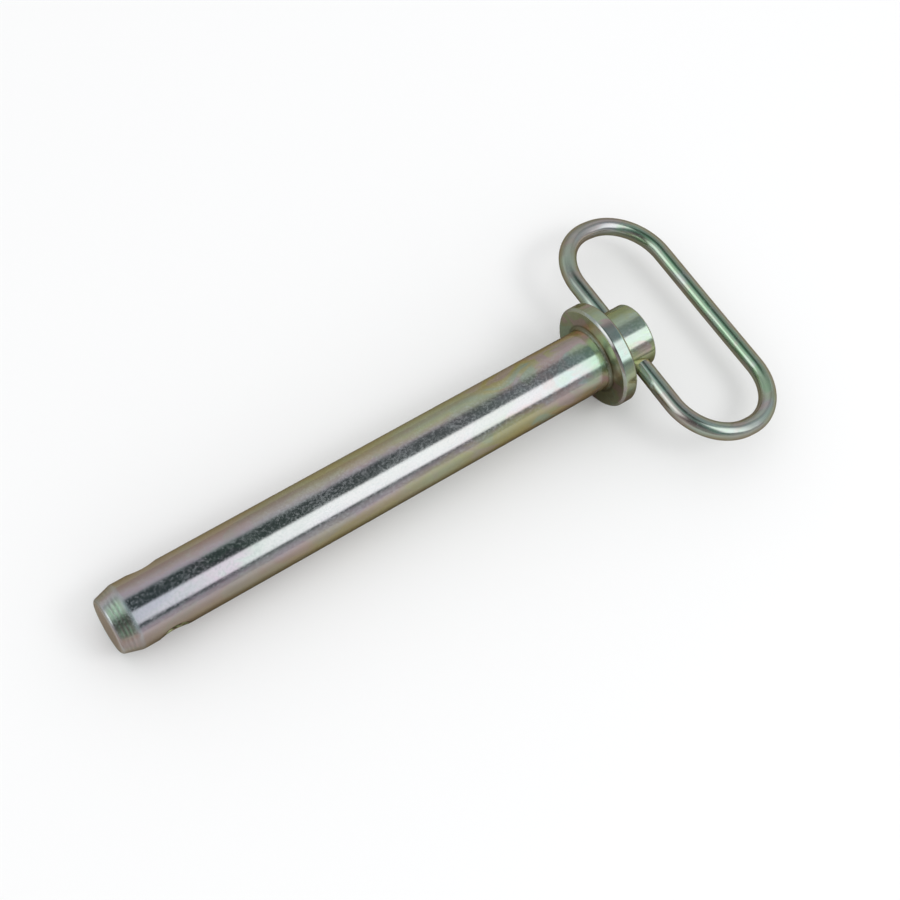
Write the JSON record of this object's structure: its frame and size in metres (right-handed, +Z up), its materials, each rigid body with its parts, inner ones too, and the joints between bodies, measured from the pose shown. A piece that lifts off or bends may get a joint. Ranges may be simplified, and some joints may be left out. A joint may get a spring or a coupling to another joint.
{
  "type": "hitch pin with swinging wire handle",
  "caption": "Round steel hitch pin with a tapered tip, a cross hole for a retaining clip, a stop collar and a swinging wire loop handle.",
  "frame": {"origin": "centre of the collar's bearing face, on the pin's axis", "axes": "+X along the pin from tip to head, +Y along the head's cross hole in which the handle turns, +Z up with the pin lying down"},
  "size_m": [0.2406, 0.099, 0.037],
  "materials": {
    "zinc_bar": "glossy iridescent zinc plating over a drawn bar, with fine pits",
    "zinc_collar": "glossy iridescent zinc plating, olive green on the flat faces",
    "zinc_wire": "bright iridescent zinc plating over drawn wire"
  },
  "bodies": {
    "pin": {"pin_bar": "zinc_bar", "collar": "zinc_collar"},
    "handle": {"handle": "zinc_wire"}
  },
  "joints": [
    {"name": "handle_swing", "type": "hinge", "parent": "pin", "child": "handle", "pos_m": [0.0136, 0, 0], "axis": [0, 1, 0], "range_deg": [-171, 146]}
  ]
}
